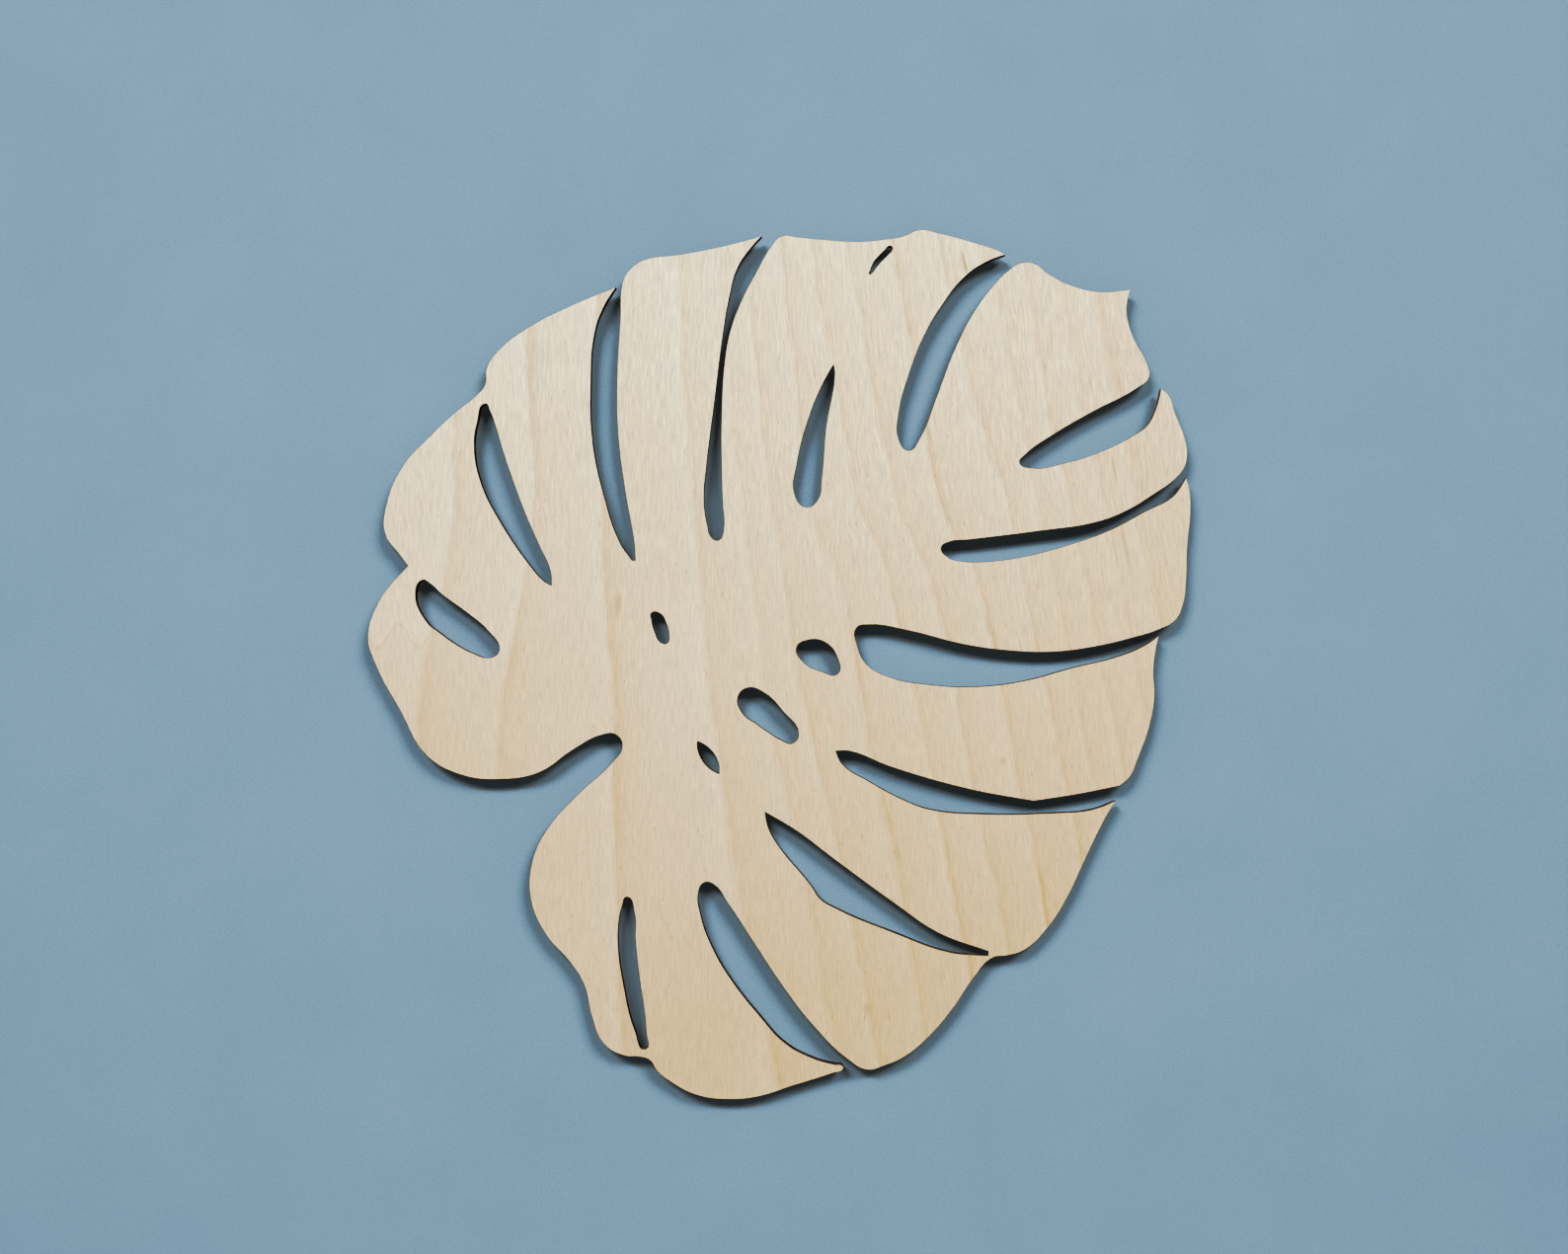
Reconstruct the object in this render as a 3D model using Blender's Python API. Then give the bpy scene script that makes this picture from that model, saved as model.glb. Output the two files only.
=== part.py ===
"""A wall panel of laser-cut plywood in the outline of a monstera leaf, held on foam mounting pads.

Metres, +Z up. The wall is the plane y = 0 and the front of the panel faces -Y. The origin is the
middle of the middle pad's back face, on the wall. The panel is 400 mm high and 379 mm wide.
"""

from math import radians

import bpy

MM = 0.001

# Driving dimensions.
PANEL_THICKNESS = 4.0 * MM
PAD_THICKNESS = 3.0 * MM
PAD_SIDE = 20.0 * MM
# The panel's back stays this far off the pads, so that the two meshes don't meet.
CONTACT_GAP = 0.3 * MM
# Straight steps between two knots of the outline.
STEPS_BETWEEN_KNOTS = 5

# The middles of the pads behind the panel, as x and z in millimetres.
PAD_MIDDLES = {
    "foam_pad_middle": (0, 0),
    "foam_pad_left": (-131.5, -52),
    "foam_pad_upper_left": (-89.5, 98),
    "foam_pad_top": (31.5, 135),
    "foam_pad_upper_right": (143, 118),
    "foam_pad_right": (170, 4),
    "foam_pad_lower_right": (118, -124),
    "foam_pad_bottom": (-18, -197),
}

# Outlines seen from the front, in millimetres from the origin: x to the right, z up. A knot is smooth
# unless it ends in SHARP.
SHARP = True

# The outer edge, clockwise from the notch on the left. Lobes are numbered clockwise from the lowest one
# on the left side, and each open slot runs in from the edge between two lobes.
OUTER_EDGE = [
    # Lobe 2, from the notch to its tip.
    (-150.5, 16.5, SHARP), (-155, 22.5), (-161, 31), (-160.5, 44.5), (-152.5, 63), (-141, 75.5),
    (-129.5, 86.5), (-119, 95), (-115, 100), (-114.5, 107), (-109, 115.5), (-92, 128), (-78, 135),
    (-65.5, 140.5), (-55, 144.5, SHARP),
    # Slot between lobes 2 and 3.
    (-60.5, 135.5), (-64.5, 124.5), (-66.5, 100), (-65.5, 72.5), (-60.5, 49), (-53, 27),
    (-47.5, 19, SHARP), (-46, 19, SHARP), (-46.5, 26.5), (-50.5, 49.5), (-54, 77), (-54.5, 102),
    (-53, 129.5), (-52, 146.5),
    # Lobe 3.
    (-50, 151), (-46, 155), (-41, 157.5), (-26, 159.5), (-5.5, 163.5), (12, 168, SHARP),
    # Slot between lobes 3 and 4, with its narrow waist.
    (7.5, 163), (1, 153.5), (-3, 139), (-5.5, 124.5), (-9.5, 93), (-13.5, 61), (-14.5, 47.5),
    (-13, 35.5), (-10.5, 29), (-7.5, 28.5), (-5.5, 33), (-6, 45.5), (-6.5, 63.5), (-6.5, 85.5),
    (-5, 111), (-2.5, 124.5), (2.5, 138), (9.5, 151.5),
    # Lobe 4.
    (16.5, 163.5), (21, 168), (29, 167.5), (39.5, 166.5), (56.5, 165.5), (68, 166.5),
    (77, 168), (84.5, 171), (93, 169.5), (113, 164), (120.5, 161.5), (124, 159.5, SHARP),
    # Slot between lobes 4 and 5.
    (116, 156.5), (105.5, 149.5), (95, 136.5), (86.5, 122), (79.5, 104), (75, 87), (75, 74.5),
    (79.5, 69.5), (84.5, 75), (91.5, 92), (100, 114.5), (109, 132.5), (118.5, 145.5), (125, 152),
    # Lobe 5.
    (130.5, 155.5), (137, 155.5), (144, 150.5), (154, 145.5), (167, 142.5), (181.5, 143.5, SHARP),
    (180, 138), (180, 130.5), (183.5, 120), (189, 109.5), (190, 103), (185, 98.5),
    # Slot between lobes 5 and 6.
    (163.5, 87), (145.5, 76.5), (133, 67.5), (130.5, 64), (135.5, 61.5), (152, 64), (166.5, 68.5),
    (182, 76), (189.5, 81.5), (193.5, 90),
    # Lobe 6.
    (195.5, 98, SHARP), (199, 95), (202, 86.5), (206, 76.5), (207.5, 69), (206.5, 62.5),
    # Slot between lobes 6 and 7.
    (203, 57.5), (191.5, 49), (179, 41.5), (165.5, 36.5), (139.5, 32.5), (107, 28.5), (98, 27.5),
    (94.5, 25), (97.5, 20.5), (105.5, 18.5), (116, 18.5), (133.5, 21), (154, 26.5), (172, 33),
    (188, 41.5), (201, 48.5),
    # Lobe 7.
    (207, 57, SHARP), (208.5, 52), (209, 41), (207.5, 25), (207, 9), (205.5, -1.5), (202, -8.5),
    # Slot between lobes 7 and 8.
    (195, -12.5), (182.5, -16.5), (165.5, -20.5), (146, -23), (126.5, -22.5), (104.5, -19.5),
    (78.5, -13), (61, -10.5), (55.5, -12), (56, -20.5), (60, -28.5), (70.5, -34.5), (89, -38),
    (109, -39), (131.5, -36.5), (154, -30.5), (177.5, -24.5), (188, -20),
    # Lobe 8.
    (194.5, -15.5, SHARP), (193, -22.5), (192, -31.5), (192.5, -43), (190, -57.5), (185, -71.5),
    (181, -80.5), (176.5, -84.5, SHARP), (156.5, -88.5),
    # Slot between lobes 8 and 9.
    (137, -91.5, SHARP), (125, -89.5), (107, -86), (70.5, -75.5), (52, -68.5), (46, -68.5, SHARP),
    (49, -74.5), (60.5, -82), (79.5, -92), (90, -95.5), (115.5, -97.5), (146, -97), (163.5, -95.5),
    # Lobes 9 and 10, which are joined at the edge.
    (174.5, -91.5, SHARP), (169.5, -100), (160, -119.5), (152.5, -135.5), (143.5, -149.5),
    (132.5, -160), (124.5, -162.5), (118, -163.5), (109.5, -172.5), (100, -186.5), (88.5, -200),
    (77.5, -209), (68.5, -213), (60.5, -215),
    # Slot between lobes 10 and 11.
    (52, -210.5), (35.5, -194.5), (23, -178.5), (9, -157.5), (-3.5, -138.5), (-10.5, -129.5),
    (-14.5, -129), (-17, -133), (-16, -144), (-10.5, -159), (-2, -173.5), (11, -190),
    (22.5, -202.5), (34, -209), (45.5, -212.5),
    # Lobe 11.
    (49, -213), (49.5, -214.5), (44.5, -216.5), (25.5, -222.5), (11.5, -227), (-2.5, -228.5),
    (-18, -226.5), (-30.5, -220), (-36, -215.5), (-39.5, -210.5), (-44, -209), (-51, -208.5),
    (-60.5, -203), (-66, -190.5), (-69.5, -176), (-76, -165.5), (-87, -153), (-94, -137),
    (-93.5, -119.5), (-87, -105), (-72.5, -88.5), (-56, -73),
    # The wide gap where a stalk would join, then lobe 1 up to the notch.
    (-52, -66.5), (-55, -61), (-61, -61), (-74, -67.5), (-90.5, -78.5), (-108.5, -81.5),
    (-126, -79.5), (-142, -70.5), (-154, -50), (-165.5, -28.5), (-169, -16), (-164, 0),
    (-158, 8.5),
]

# Openings that don't reach the edge.
HOLES = {
    "oval in lobe 1": [
        (-144, 10), (-147, 4.5), (-142, -9), (-135.5, -14.5), (-128.5, -19.5), (-121, -23.5),
        (-112, -25.5), (-108.5, -22), (-113.5, -13.5), (-124, -4.5), (-135, 3.5), (-140.5, 8.5),
    ],
    "slot in lobe 2": [
        (-115, 91), (-118.5, 83), (-120, 70.5), (-116.5, 53.5), (-108.5, 37.5), (-95, 17.5),
        (-88, 9.5), (-84.5, 7.5, SHARP), (-85, 14), (-90.5, 26.5), (-97, 41.5), (-105.5, 65),
        (-113, 88),
    ],
    "slot in lobe 4": [
        (45, 109, SHARP), (40, 100), (34, 85.5), (28, 62.5), (27, 50), (32, 43.5), (37.5, 46.5),
        (39.5, 57), (41.5, 80), (45.5, 104.5),
    ],
    "sliver at the top of lobe 4": [
        (71, 163.5), (68.5, 161.5), (66, 159), (63.5, 156), (62, 152.5), (61.5, 150.5),
        (62.5, 151), (64.5, 153.5), (67, 156.5), (69.5, 159), (72, 162.5),
    ],
    "slot between lobes 9 and 10": [
        (13.5, -96.5, SHARP), (28.5, -105.5), (43, -116.5), (73, -138.5), (93, -152),
        (116, -160.5, SHARP), (116, -162.5, SHARP), (98.5, -161), (73, -152), (45.5, -140.5),
        (39, -136.5), (34.5, -130), (19, -111), (15, -103.5),
    ],
    "slot in lobe 11": [
        (-50, -135.5), (-52, -139.5), (-53.5, -146), (-54, -156.5), (-51.5, -175.5),
        (-46, -197.5), (-41.5, -205.5), (-41, -197.5), (-44.5, -170), (-46, -155), (-46.5, -142.5),
    ],
    "left oval by the midrib": [
        (-38.5, -5), (-38.5, -8.5), (-37, -14), (-34.5, -18.5), (-31.5, -19), (-30.5, -15.5),
        (-32, -9.5), (-34.5, -5.5),
    ],
    "lower oval by the midrib": [
        (-17.5, -64, SHARP), (-17.5, -67), (-16, -71.5), (-12, -76.5), (-7.5, -79, SHARP),
        (-8, -73.5), (-13, -66.5),
    ],
    "long oval by the midrib": [
        (5.5, -39.5), (1, -44), (3.5, -51.5), (9.5, -56), (16, -60.5), (21, -63.5), (26, -65),
        (29, -61), (21.5, -50), (13.5, -42),
    ],
    "right oval by the midrib": [
        (28, -21), (33.5, -17.5), (41, -18.5), (46.5, -25), (47, -33), (39.5, -32), (31.5, -28),
    ],
}


def make_material(name, colour, roughness):
    """A plain Principled material with no metal in it."""
    material = bpy.data.materials.new(name)
    material.use_nodes = True
    shader = material.node_tree.nodes["Principled BSDF"]
    shader.inputs["Base Color"].default_value = (*colour, 1.0)
    shader.inputs["Roughness"].default_value = roughness
    shader.inputs["Metallic"].default_value = 0.0
    return material


def add_closed_spline(curve, knots):
    """Adds one closed outline: smooth at each knot, with a corner at each SHARP one."""
    spline = curve.splines.new("BEZIER")
    spline.bezier_points.add(len(knots) - 1)
    spline.use_cyclic_u = True
    spline.resolution_u = STEPS_BETWEEN_KNOTS
    for point, (x, z, *sharp) in zip(spline.bezier_points, knots):
        handle_type = "VECTOR" if sharp else "AUTO"
        point.co = (x * MM, z * MM, 0.0)
        point.handle_left_type = handle_type
        point.handle_right_type = handle_type


def make_leaf_panel(collection):
    """The panel: one sheet of plywood with every slot and hole cut through it."""
    curve = bpy.data.curves.new("leaf_panel", "CURVE")
    curve.dimensions = "2D"
    curve.fill_mode = "BOTH"
    curve.extrude = PANEL_THICKNESS / 2
    curve.resolution_u = STEPS_BETWEEN_KNOTS
    for knots in (OUTER_EDGE, *HOLES.values()):
        add_closed_spline(curve, knots)
    curve.materials.append(make_material("birch_plywood", (0.70, 0.60, 0.44), 0.6))
    panel = bpy.data.objects.new("leaf_panel", curve)
    # Turned so that the curve's own y axis points up and its face looks along -Y.
    panel.rotation_euler.x = radians(90)
    panel.location.y = -(PAD_THICKNESS + CONTACT_GAP + PANEL_THICKNESS / 2)
    collection.objects.link(panel)
    return panel


def make_foam_pads(collection):
    """Square pads of double-sided foam between the panel and the wall, one object each."""
    bpy.ops.mesh.primitive_cube_add(size=1.0)
    first = bpy.context.object
    mesh = first.data
    mesh.name = "foam_pad"
    for vertex in mesh.vertices:
        vertex.co.x *= PAD_SIDE
        vertex.co.y *= PAD_THICKNESS
        vertex.co.z *= PAD_SIDE
    mesh.materials.append(make_material("white_foam", (0.80, 0.80, 0.77), 0.9))
    bpy.data.objects.remove(first)
    for name, (x, z) in PAD_MIDDLES.items():
        pad = bpy.data.objects.new(name, mesh)
        pad.location = (x * MM, -PAD_THICKNESS / 2, z * MM)
        collection.objects.link(pad)


def main():
    for old in list(bpy.data.objects):
        bpy.data.objects.remove(old)
    collection = bpy.data.collections.new("monstera_leaf_wall_panel")
    bpy.context.scene.collection.children.link(collection)
    make_leaf_panel(collection)
    make_foam_pads(collection)


main()
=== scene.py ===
"""Plywood leaf wall panel: a laser-cut leaf of pale birch plywood, held off a wall by foam pads.

Sizes are in metres unless a name says MM. The panel hangs upright: +Z is up, and its face looks along -Y.
"""
import math

import bpy
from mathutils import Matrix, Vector


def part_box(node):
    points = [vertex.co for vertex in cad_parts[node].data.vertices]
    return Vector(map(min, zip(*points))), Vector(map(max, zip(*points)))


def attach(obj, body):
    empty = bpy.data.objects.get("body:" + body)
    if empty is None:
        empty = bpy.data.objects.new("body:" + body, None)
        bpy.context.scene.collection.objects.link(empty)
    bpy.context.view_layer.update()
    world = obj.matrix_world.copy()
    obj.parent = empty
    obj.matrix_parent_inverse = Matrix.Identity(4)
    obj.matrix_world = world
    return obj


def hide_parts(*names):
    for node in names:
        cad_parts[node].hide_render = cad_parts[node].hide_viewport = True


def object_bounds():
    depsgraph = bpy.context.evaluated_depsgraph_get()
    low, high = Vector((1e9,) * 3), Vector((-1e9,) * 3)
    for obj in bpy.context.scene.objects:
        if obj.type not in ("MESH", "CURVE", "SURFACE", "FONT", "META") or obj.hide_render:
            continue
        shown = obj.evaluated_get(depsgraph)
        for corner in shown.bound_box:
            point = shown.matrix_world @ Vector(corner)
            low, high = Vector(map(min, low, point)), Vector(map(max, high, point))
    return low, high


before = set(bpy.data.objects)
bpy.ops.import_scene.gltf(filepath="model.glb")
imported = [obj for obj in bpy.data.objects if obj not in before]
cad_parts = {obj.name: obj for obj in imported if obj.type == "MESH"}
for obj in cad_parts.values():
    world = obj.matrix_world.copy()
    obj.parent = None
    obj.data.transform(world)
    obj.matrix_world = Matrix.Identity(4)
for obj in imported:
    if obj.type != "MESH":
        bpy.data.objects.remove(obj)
cad_low, cad_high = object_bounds()
sheet_low, sheet_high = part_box("leaf_panel")
FACE_Y = sheet_low.y
BACK_Y = sheet_high.y

# The cut edge of the sheet.
RIM_WIDTH = 0.00015
FACE_PLY_THICKNESS = 0.0011
GLUE_LINE_THICKNESS = 0.00016
GLUE_LINE_DEPTH = 0.00010
SHEET_SMOOTH_DEGREES = 32.0

# Which finish each part of the sheet has, in the order of its material slots.
FACE, BACK, RIM, FACE_PLY, CORE_PLY, GLUE_LINE = range(6)

# The foam pads.
PAD_NAMES = (
    "foam_pad_middle",
    "foam_pad_left",
    "foam_pad_upper_left",
    "foam_pad_top",
    "foam_pad_upper_right",
    "foam_pad_right",
    "foam_pad_lower_right",
    "foam_pad_bottom",
)
PAD_CORNER_RADIUS = 0.0012
PAD_CORNER_SEGMENTS = 4
PAD_FILM_THICKNESS = 0.00022
PAD_TO_SHEET_GAP = 0.00004
PAD_SMOOTH_DEGREES = 40.0

# The waist where a pad's foam gives: how deep, then each cut's place as a share of the pad's thickness and
# its share of that depth.
PAD_WAIST = 0.00045
PAD_WAIST_CUTS = (
    (0.5, 1.0),
    (0.28, 0.75),
    (0.72, 0.75),
)

# How near counts as the same place, as a double to merge, as on one level, and as on a face of the sheet.
SAME_PLACE = 0.000001
MERGE_DISTANCE = 0.000002
ON_LEVEL = 0.00002
ON_FACE = 0.0001

# An edge longer than this along Y runs through a piece from front to back.
THROUGH_LENGTH = 0.001

# A face whose normal has more than this along Y looks to the front or the back.
FACING_Y = 0.9

# The face veneer's figure, in millimetres. Each growth ring starts with a thin dark line.
# The first number is where the line crosses the sheet's middle height, the second how strong it is.
RING_STARTS_MM = (
    (-134, 0.45),
    (-98, 0.70),
    (-60, 0.50),
    (-14, 0.40),
    (10, 0.30),
    (26, 0.35),
    (51, 0.80),
    (76, 0.55),
    (95, 0.40),
    (115, 0.95),
    (138, 0.40),
    (151, 0.45),
    (165, 0.60),
    (180, 0.60),
    (195, 0.35),
)
FIRST_RING_STRENGTH = 0.5
FIGURE_LEFT_MM = -200.0
FIGURE_RIGHT_MM = 240.0
RING_LINE_SOFT_MM = 0.5

# Gum streaks and pin knots in the face veneer: middle, half sizes, turn in degrees, and strength.
GUM_MARKS_MM = (
    ((105.0, 156.0), (1.1, 7.5), -14.0, 1.0),
    ((174.0, 61.0), (0.8, 11.0), -10.0, 0.6),
    ((179.0, 26.0), (1.2, 16.0), -11.0, 0.5),
    ((-54.0, -1.0), (2.2, 8.0), 6.0, 0.45),
    ((123.0, -73.0), (1.9, 2.2), 0.0, 0.45),
    ((156.0, 22.0), (0.7, 3.2), 0.0, 0.45),
    ((60.0, -187.0), (2.5, 4.0), 0.0, 0.4),
)

# The ripple in the left lobe: where one crest is, half a wave's length, half its height and its level.
RIPPLE_CREST_MM = -155.0
RIPPLE_HALF_WAVE_MM = 9.4
RIPPLE_SWING_MM = 5.5
RIPPLE_LEVEL_MM = -15.5

# How tan the face veneer is, 0 to 1: at the origin, and what each millimetre to the right and up adds.
WARMTH_AT_ORIGIN = 0.46
WARMTH_PER_MM_RIGHT = 0.00077
WARMTH_PER_MM_UP = -0.00284

# The back veneer: how close its rings are, and its knots: middle, half sizes and turn in degrees.
BACK_RING_SCALE = 0.012
BACK_KNOTS_MM = (
    ((-62.0, 34.0), (4.5, 6.5), 8.0),
    ((96.0, -46.0), (3.5, 5.0), -6.0),
    ((28.0, 112.0), (2.6, 4.2), 4.0),
)

# Colours, as red, green and blue from 0 to 255.
VENEER_PALE = (218, 212, 197)
VENEER_TAN = (210, 191, 164)
BACK_VENEER_PALE = (217, 203, 177)
BACK_VENEER_TAN = (205, 186, 153)
# The foam's pits get a darker colour, as painted shade; the foam itself is the paler colour below.
FOAM_PIT_SHADE = (196, 195, 190)
FOAM_WALL = (224, 223, 219)
FOAM_STAIN = (198, 192, 178)
FILM_DULL = (186, 186, 180)
FILM_PALE = (208, 207, 200)
WALL_PAINT = (147, 166, 182)
FLOOR_PAINT = (214, 217, 218)

# The charred walls: name, darkest colour, brownest colour, share of brown, and roughness.
CHARRED_LAYERS = (
    ("charred_rim", (62, 55, 48), (128, 115, 101), 0.45, 0.85),
    ("charred_face_ply", (44, 35, 28), (136, 107, 81), 0.55, 0.80),
    ("charred_core_ply", (30, 24, 20), (106, 79, 58), 0.50, 0.86),
    ("charred_glue_line", (9, 8, 7), (24, 19, 16), 0.30, 0.60),
)

# Tints, as what each of red, green and blue is multiplied by.
COOL_BAND_TINT = (1.008, 1.022, 1.050)
RING_START_TINT = (0.980, 0.954, 0.920)
RING_PALE_TINT = (1.005, 1.014, 1.024)
RING_STRIPE_TINT = (1.018, 1.036, 1.058)
RING_LINE_TINT = (0.91, 0.81, 0.70)
CREAM_TINT = (0.998, 1.005, 1.006)
BLUSH_TINT = (1.002, 0.989, 0.981)
PORE_TINT = (0.74, 0.62, 0.50)
GUM_TINT = (0.72, 0.52, 0.36)
BACK_RING_LINE_TINT = (0.88, 0.77, 0.64)
BACK_PORE_TINT = (0.72, 0.60, 0.48)
KNOT_EDGE_TINT = (0.80, 0.66, 0.50)
KNOT_HEART_TINT = (0.62, 0.44, 0.30)

# The studio: the camera, the wall and the floor.
LEAF_MIDDLE = (cad_low + cad_high) / 2
CAMERA_DISTANCE = 0.7002
CAMERA_RIGHT = 0.0022
CAMERA_UP = 0.0172
LENS_MM = 35.0
SENSOR_WIDTH_MM = 36.0
WALL_WIDTH = 6.0
WALL_HEIGHT = 4.6
WALL_GAP = 0.0001
WALL_GRAIN_MM = 0.9
WALL_RELIEF = 0.00012
FLOOR_DROP = 2.2
FLOOR_SIZE = 40.0
FLOOR_GRAIN_MM = 2.0
FLOOR_RELIEF = 0.0001
FLOOR_GLOW = 0.88

# The studio's lights.
LIGHT_DISTANCE = 3.2
LIGHT_LENGTH = 1.3
LIGHT_WIDTH = 0.65
LIGHT_SPREAD_DEGREES = 80.0
LIGHT_AIM_DROP = 0.50
LEFT_LIGHT_DIRECTION = (-0.54, -1.0, 0.79)
LEFT_LIGHT_WATTS = 13.0
RIGHT_LIGHT_DIRECTION = (0.66, -1.0, 0.82)
RIGHT_LIGHT_WATTS = 11.9
REAR_LIGHT_DIRECTION = (-0.45, 1.0, 0.6)
REAR_LIGHT_SIZE = 1.6
REAR_LIGHT_SPREAD_DEGREES = 180.0
REAR_LIGHT_WATTS = 112.0
LIGHT_TINT = (0.94, 0.96, 1.0)
SURROUND_TINT = (1.0, 0.92, 0.78, 1.0)
SURROUND_PALE = (0.74, 0.76, 0.77, 1.0)
SURROUND_GLOW = 0.24

# How the print is exposed: light that arrives, and how light it prints. Shadows print darker than they are.
PRINT_CURVE = (
    (0.02, 0.002),
    (0.05, 0.011),
    (0.10, 0.037),
    (0.17, 0.079),
    (0.23, 0.145),
    (0.29, 0.243),
    (0.34, 0.322),
    (0.40, 0.396),
    (0.60, 0.600),
)
# After that, blue gains a little in the deepest shadows and fades a little in the half shadows.
BLUE_PRINT_CURVE = (
    (0.06, 0.064),
    (0.10, 0.102),
    (0.14, 0.137),
    (0.19, 0.179),
    (0.24, 0.224),
    (0.30, 0.289),
    (0.36, 0.358),
    (0.50, 0.500),
)


# ---------------------------------------------------------------------------------------------------------
# Small helpers for materials
# ---------------------------------------------------------------------------------------------------------


def colour(red, green, blue):
    """A paint chart colour as the linear numbers that shaders take."""
    channels = []
    for level in (red, green, blue):
        share = level / 255.0
        if share <= 0.04045:
            channels.append(share / 12.92)
        else:
            channels.append(((share + 0.055) / 1.055) ** 2.4)
    return (*channels, 1.0)


def grey(level):
    """A grey whose three channels are one linear number."""
    return (level, level, level, 1.0)


def new_finish(name):
    """An empty material, its node tree and its main shader."""
    material = bpy.data.materials.new(name)
    material.use_nodes = True
    tree = material.node_tree
    tree.nodes.clear()
    output = tree.nodes.new("ShaderNodeOutputMaterial")
    shader = tree.nodes.new("ShaderNodeBsdfPrincipled")
    tree.links.new(shader.outputs["BSDF"], output.inputs["Surface"])
    return material, tree, shader


def plug(tree, source, socket):
    """Joins a node's output to a socket, or sets the socket to a plain value."""
    if isinstance(source, bpy.types.NodeSocket):
        tree.links.new(source, socket)
    else:
        socket.default_value = source


def dress(tree, shader, tone, roughness, specular=0.5):
    """Gives a shader its colour, its roughness and how strongly it mirrors light."""
    plug(tree, tone, shader.inputs["Base Color"])
    plug(tree, roughness, shader.inputs["Roughness"])
    shader.inputs["Specular IOR Level"].default_value = specular


def reckon(tree, operation, first, second=0.0, third=0.0):
    """One sum on numbers."""
    node = tree.nodes.new("ShaderNodeMath")
    node.operation = operation
    for socket, value in zip(node.inputs, (first, second, third)):
        plug(tree, value, socket)
    return node.outputs["Value"]


def product(tree, first, *others):
    """Numbers multiplied together."""
    result = first
    for other in others:
        result = reckon(tree, "MULTIPLY", result, other)
    return result


def add_share(tree, value, pattern, amount):
    """A number plus some amount of a pattern."""
    return reckon(tree, "MULTIPLY_ADD", pattern, amount, value)


def sway(tree, value, pattern, amount):
    """A number pushed up and down by a 0 to 1 pattern. The amount is the whole swing."""
    return add_share(tree, value, reckon(tree, "SUBTRACT", pattern, 0.5), amount)


def hold(tree, value):
    """A number kept between 0 and 1."""
    return reckon(tree, "MINIMUM", reckon(tree, "MAXIMUM", value, 0.0), 1.0)


def ease(tree, value, start, end, low=0.0, high=1.0):
    """A smooth step from low at start to high at end."""
    node = tree.nodes.new("ShaderNodeMapRange")
    node.interpolation_type = "SMOOTHSTEP"
    plug(tree, value, node.inputs["Value"])
    node.inputs["From Min"].default_value = start
    node.inputs["From Max"].default_value = end
    node.inputs["To Min"].default_value = low
    node.inputs["To Max"].default_value = high
    return node.outputs["Result"]


def fade(tree, value, start, end):
    """A smooth step from 1 at start to 0 at end."""
    return ease(tree, value, start, end, low=1.0, high=0.0)


def spread(tree, value, start, end, low, high):
    """A straight change of range, held at both ends."""
    node = tree.nodes.new("ShaderNodeMapRange")
    plug(tree, value, node.inputs["Value"])
    node.inputs["From Min"].default_value = start
    node.inputs["From Max"].default_value = end
    node.inputs["To Min"].default_value = low
    node.inputs["To Max"].default_value = high
    return node.outputs["Result"]


def spread_noise(tree, pattern, low, high):
    """A mottled pattern, whose values lie mostly near its middle, brought to a range from low to high."""
    return spread(tree, pattern, 0.3, 0.7, low, high)


def vector_of(tree, x, y, z):
    """Three numbers as one vector."""
    node = tree.nodes.new("ShaderNodeCombineXYZ")
    for socket, value in zip(node.inputs, (x, y, z)):
        plug(tree, value, socket)
    return node.outputs["Vector"]


def blend_colours(tree, share, first, second, way="MIX"):
    """Mixes two colours, or lays one on the other."""
    node = tree.nodes.new("ShaderNodeMix")
    node.data_type = "RGBA"
    node.blend_type = way
    plug(tree, share, node.inputs[0])
    plug(tree, first, node.inputs[6])
    plug(tree, second, node.inputs[7])
    return node.outputs[2]


def stain(tree, tone, tint, share):
    """Multiplies a colour by a tint, as far as the share says."""
    return blend_colours(tree, share, tone, (*tint, 1.0), "MULTIPLY")


def brighten(tree, tone, pattern, amount):
    """Lightens and darkens a colour by a 0 to 1 pattern. The amount is the whole swing."""
    light = sway(tree, 1.0, pattern, amount)
    return blend_colours(tree, 1.0, tone, vector_of(tree, light, light, light), "MULTIPLY")


def millimetres(tree):
    """The place on the piece, in millimetres."""
    place = tree.nodes.new("ShaderNodeTexCoord")
    scale = tree.nodes.new("ShaderNodeMapping")
    scale.inputs["Scale"].default_value = (1000.0, 1000.0, 1000.0)
    tree.links.new(place.outputs["Object"], scale.inputs["Vector"])
    return scale.outputs["Vector"]


def sheet_place(tree):
    """The place on the sheet, in millimetres: x across, z up, and both as a vector that lies in the face."""
    split = tree.nodes.new("ShaderNodeSeparateXYZ")
    tree.links.new(millimetres(tree), split.inputs["Vector"])
    x = split.outputs["X"]
    z = split.outputs["Z"]
    return x, z, vector_of(tree, x, 0.0, z)


def mottle(tree, vector, size, offset=(0.0, 0.0, 0.0), detail=2.0, roughness=0.5, distortion=0.0):
    """Soft random mottling, 0 to 1, whose blotches are about size millimetres along x, y and z."""
    place = tree.nodes.new("ShaderNodeMapping")
    place.inputs["Location"].default_value = offset
    place.inputs["Scale"].default_value = tuple(1.0 / length for length in size)
    plug(tree, vector, place.inputs["Vector"])
    noise = tree.nodes.new("ShaderNodeTexNoise")
    noise.inputs["Scale"].default_value = 1.0
    noise.inputs["Detail"].default_value = detail
    noise.inputs["Roughness"].default_value = roughness
    noise.inputs["Distortion"].default_value = distortion
    tree.links.new(place.outputs["Vector"], noise.inputs["Vector"])
    return noise.outputs["Fac"]


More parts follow.
